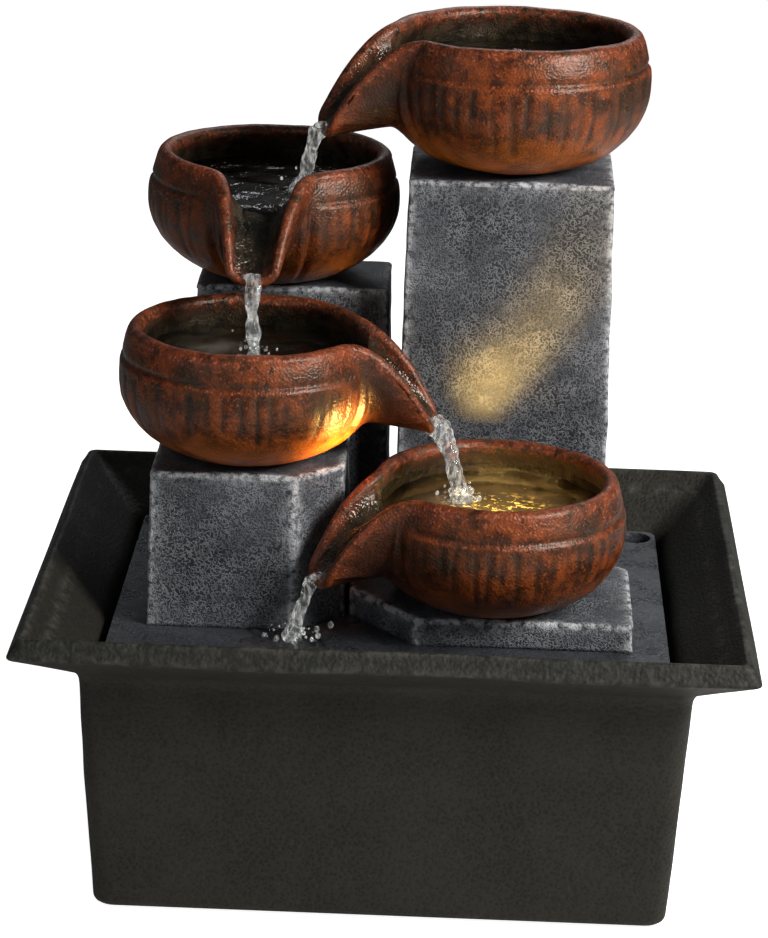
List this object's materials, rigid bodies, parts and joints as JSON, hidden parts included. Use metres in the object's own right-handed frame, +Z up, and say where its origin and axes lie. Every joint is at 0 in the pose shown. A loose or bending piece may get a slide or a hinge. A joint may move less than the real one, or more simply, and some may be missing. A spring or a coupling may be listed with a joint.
{
  "type": "tabletop water fountain",
  "caption": "Tabletop fountain: pouring bowls on square slate-look columns over a flared black tub, with a pump, a riser tube and a lamp inside.",
  "frame": {"origin": "on the surface the feet stand on, under the middle of the tub", "axes": "+X right, +Y to the back, +Z up"},
  "size_m": [0.21, 0.18, 0.2417],
  "materials": {
    "black_tub": "fine leather grain",
    "slate_deck": "matte cast slate look",
    "slate_column": "matte, pale wrinkle figure",
    "terracotta": "satin, dark patina",
    "black_rubber": "matte",
    "clear_tube": "soft, translucent",
    "pump_plastic": "fine moulded",
    "cover_plastic": "fine moulded",
    "potting_resin": "cast",
    "core_steel": "laminated",
    "copper_wire": "enamelled winding",
    "shaft_ceramic": "polished",
    "ferrite": "dull",
    "white_plastic": "moulded",
    "lamp_lens": "clear, warm",
    "lamp_board": "white board with warm chip"
  },
  "bodies": {
    "base": {"tub": "black_tub", "rubber_feet": "black_rubber", "cord_grommet": "black_rubber", "pump_housing": "pump_plastic", "potting": "potting_resin", "stator_core": "core_steel", "stator_coil": "copper_wire", "volute_cover": "pump_plastic", "rear_bush": "black_rubber", "front_bush": "black_rubber", "impeller_shaft": "shaft_ceramic", "suction_cups": "black_rubber", "pump_gland": "black_rubber"},
    "fountain_top": {"deck_plate": "slate_deck", "tall_pillar": "slate_column", "mid_pillar": "slate_column", "short_pillar": "slate_column", "low_plinth": "slate_column", "bowl_top": "terracotta", "bowl_back": "terracotta", "bowl_front": "terracotta", "bowl_low": "terracotta", "riser_tube": "clear_tube", "top_spigot": "white_plastic", "led_housing": "pump_plastic", "led_lens": "lamp_lens", "led_seal": "black_rubber", "led_board": "lamp_board"},
    "rotor": {"rotor_magnet": "ferrite", "impeller": "white_plastic"},
    "intake_cap": {"intake_cover": "cover_plastic"},
    "dial": {"flow_dial": "white_plastic"}
  },
  "joints": [
    {"name": "deck_lift", "type": "slide", "parent": "base", "child": "fountain_top", "axis": [0, 0, 1], "range_m": [0, 0.06]},
    {"name": "rotor_spin", "type": "hinge", "parent": "base", "child": "rotor", "pos_m": [0.0313, 0.0403, 0.0253], "axis": [1, 0, 0], "continuous": true},
    {"name": "cover_pull", "type": "slide", "parent": "base", "child": "intake_cap", "axis": [1, 0, 0], "range_m": [0, 0.018]},
    {"name": "dial_turn", "type": "hinge", "parent": "intake_cap", "child": "dial", "pos_m": [0.0485, 0.0403, 0.0253], "axis": [1, 0, 0], "range_deg": [0, 90]}
  ]
}
